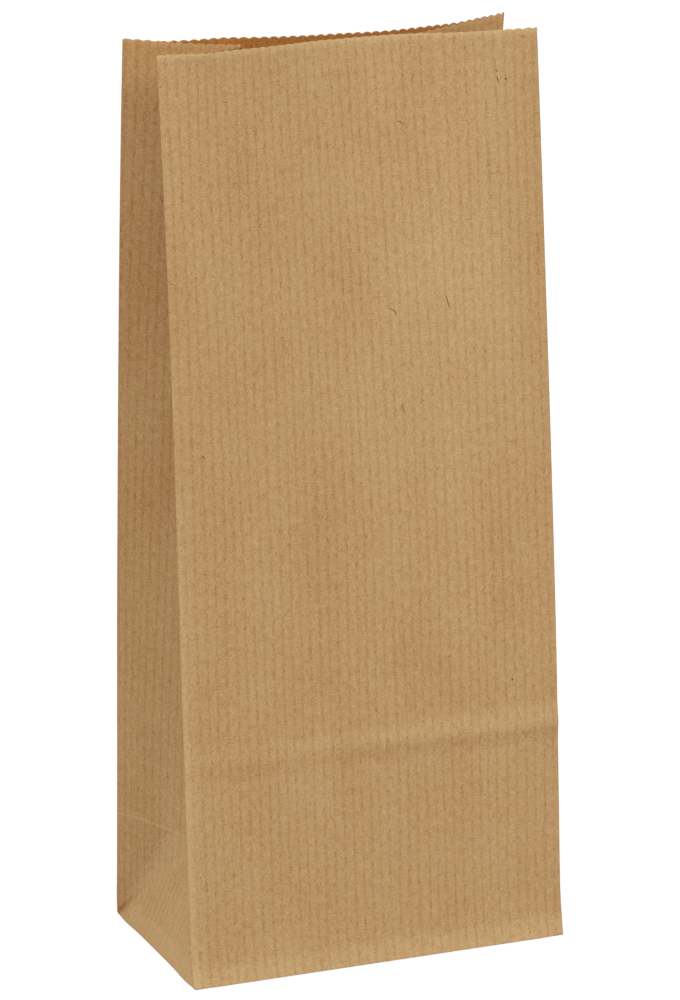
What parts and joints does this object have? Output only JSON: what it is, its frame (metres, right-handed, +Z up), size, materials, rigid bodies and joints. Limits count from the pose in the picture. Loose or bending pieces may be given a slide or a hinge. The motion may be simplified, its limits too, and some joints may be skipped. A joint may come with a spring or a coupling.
{
  "type": "kraft paper bag",
  "caption": "Small upright kraft paper bag with a flat block bottom, side gussets folded inward, a glued lap up the back and a serrated open mouth.",
  "frame": {"origin": "middle of the bottom, on the surface that the bag stands on", "axes": "+Z up along the height, +X to the right across the front panel, front panel facing -Y"},
  "size_m": [0.0914, 0.0524, 0.2102],
  "materials": {
    "kraft_paper": "matt ribbed brown kraft"
  },
  "bodies": {
    "root": {"paper_bag": "kraft_paper"}
  },
  "joints": []
}
